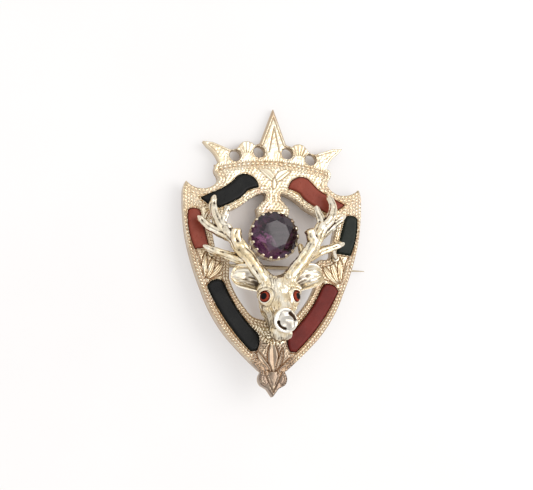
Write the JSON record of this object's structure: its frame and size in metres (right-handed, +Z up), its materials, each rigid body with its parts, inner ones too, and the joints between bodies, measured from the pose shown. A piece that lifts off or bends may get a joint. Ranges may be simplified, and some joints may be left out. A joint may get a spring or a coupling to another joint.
{
  "type": "stag head brooch",
  "caption": "Shield-shaped silver brooch with a pierced crown, hardstone inlays, a claw-set purple stone, a cast stag's head and a hinged pin.",
  "frame": {"origin": "middle of the bounding box's floor, on the surface that the brooch lies on", "axes": "+X to the wearer's left as seen from the front, +Y up the shield to the crown, +Z up from the surface; the shield's face is tilted 7.33 degrees, crown end down"},
  "size_m": [0.0386, 0.0586, 0.0169],
  "materials": {
    "silver_shield": "polished",
    "silver_casting": "polished",
    "pin_metal": "satin",
    "purple_stone": "polished",
    "eye_glass": "polished",
    "black_stone": "polished",
    "red_jasper": "polished",
    "green_stone": "polished",
    "deep_red_jasper": "polished"
  },
  "bodies": {
    "brooch": {"amethyst": "purple_stone", "eye_left": "eye_glass", "eye_right": "eye_glass", "inlay_lower_left": "black_stone", "inlay_lower_right": "deep_red_jasper", "inlay_side_left": "red_jasper", "inlay_side_right": "green_stone", "inlay_top_left": "black_stone", "inlay_top_right": "red_jasper", "shield": "silver_shield", "stag_head": "silver_casting"},
    "pin": {"pin_stem": "pin_metal"}
  },
  "joints": [
    {"name": "pin_hinge", "type": "hinge", "parent": "brooch", "child": "pin", "pos_m": [-0.01439, -0.00311, 0.00111], "axis": [0, 0.9918, -0.1276], "range_deg": [0, 100]}
  ]
}
